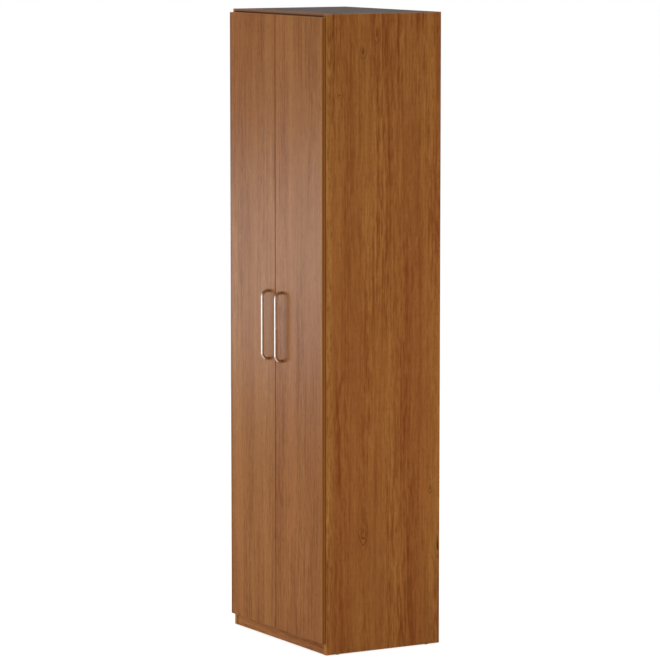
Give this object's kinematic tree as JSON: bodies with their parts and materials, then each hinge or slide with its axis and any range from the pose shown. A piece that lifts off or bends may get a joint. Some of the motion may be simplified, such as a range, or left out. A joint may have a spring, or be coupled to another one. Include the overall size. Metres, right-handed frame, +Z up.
{
  "type": "wardrobe",
  "caption": "Tall narrow wardrobe in brown wood laminate, with doors on concealed hinges, upright chrome bow handles, a hat shelf and a clothes rail.",
  "frame": {"origin": "centre of the footprint, with the handles counted, on the floor", "axes": "+Z up, the doors face -Y, +X to the right as seen from the front"},
  "size_m": [0.6, 0.46, 2.02],
  "materials": {
    "carcass_laminate": "satin brown wood laminate with upright grain",
    "door_laminate": "satin to glossy brown wood laminate with upright grain",
    "back_hardboard": "thin hardboard faced in brown",
    "handle_chrome": "polished",
    "rail_chrome": "polished",
    "hinge_nickel": "nickel plated pressed steel",
    "screw_zinc": "zinc plated",
    "glide_plastic": "dark brown moulded",
    "bumper_rubber": "soft clear grey"
  },
  "bodies": {
    "carcass": {"side_panel_left": "carcass_laminate", "side_panel_right": "carcass_laminate", "top_panel": "carcass_laminate", "bottom_panel": "carcass_laminate", "plinth_board": "carcass_laminate", "hat_shelf": "carcass_laminate", "back_panel": "back_hardboard", "floor_glide_front_left": "glide_plastic", "floor_glide_rear_left": "glide_plastic", "floor_glide_front_right": "glide_plastic", "floor_glide_rear_right": "glide_plastic", "clothes_rail": "rail_chrome", "rail_socket_front": "rail_chrome", "rail_socket_rear": "rail_chrome", "rail_screw_front_left": "screw_zinc", "rail_screw_front_right": "screw_zinc", "rail_screw_rear_left": "screw_zinc", "rail_screw_rear_right": "screw_zinc", "door_bumper_left": "bumper_rubber", "door_bumper_right": "bumper_rubber", "hinge_arm_left_1": "hinge_nickel", "hinge_arm_left_2": "hinge_nickel", "hinge_arm_left_3": "hinge_nickel", "hinge_arm_left_4": "hinge_nickel", "hinge_plate_left_1": "hinge_nickel", "hinge_plate_left_2": "hinge_nickel", "hinge_plate_left_3": "hinge_nickel", "hinge_plate_left_4": "hinge_nickel", "hinge_arm_right_1": "hinge_nickel", "hinge_arm_right_2": "hinge_nickel", "hinge_arm_right_3": "hinge_nickel", "hinge_arm_right_4": "hinge_nickel", "hinge_plate_right_1": "hinge_nickel", "hinge_plate_right_2": "hinge_nickel", "hinge_plate_right_3": "hinge_nickel", "hinge_plate_right_4": "hinge_nickel"},
    "door_left_body": {"door_left": "door_laminate", "handle_left": "handle_chrome", "handle_screw_lower_left": "screw_zinc", "handle_screw_upper_left": "screw_zinc", "hinge_cup_left_1": "hinge_nickel", "hinge_cup_left_2": "hinge_nickel", "hinge_cup_left_3": "hinge_nickel", "hinge_cup_left_4": "hinge_nickel", "hinge_pin_left_1": "hinge_nickel", "hinge_pin_left_2": "hinge_nickel", "hinge_pin_left_3": "hinge_nickel", "hinge_pin_left_4": "hinge_nickel"},
    "door_right_body": {"door_right": "door_laminate", "handle_right": "handle_chrome", "handle_screw_lower_right": "screw_zinc", "handle_screw_upper_right": "screw_zinc", "hinge_cup_right_1": "hinge_nickel", "hinge_cup_right_2": "hinge_nickel", "hinge_cup_right_3": "hinge_nickel", "hinge_cup_right_4": "hinge_nickel", "hinge_pin_right_1": "hinge_nickel", "hinge_pin_right_2": "hinge_nickel", "hinge_pin_right_3": "hinge_nickel", "hinge_pin_right_4": "hinge_nickel"}
  },
  "joints": [
    {"name": "door_left_hinge", "type": "hinge", "parent": "carcass", "child": "door_left_body", "pos_m": [-0.2927, -0.1965, 1.0245], "axis": [0, 0, -1], "range_deg": [0, 100]},
    {"name": "door_right_hinge", "type": "hinge", "parent": "carcass", "child": "door_right_body", "pos_m": [0.2927, -0.1965, 1.0245], "axis": [0, 0, 1], "range_deg": [0, 100]}
  ]
}
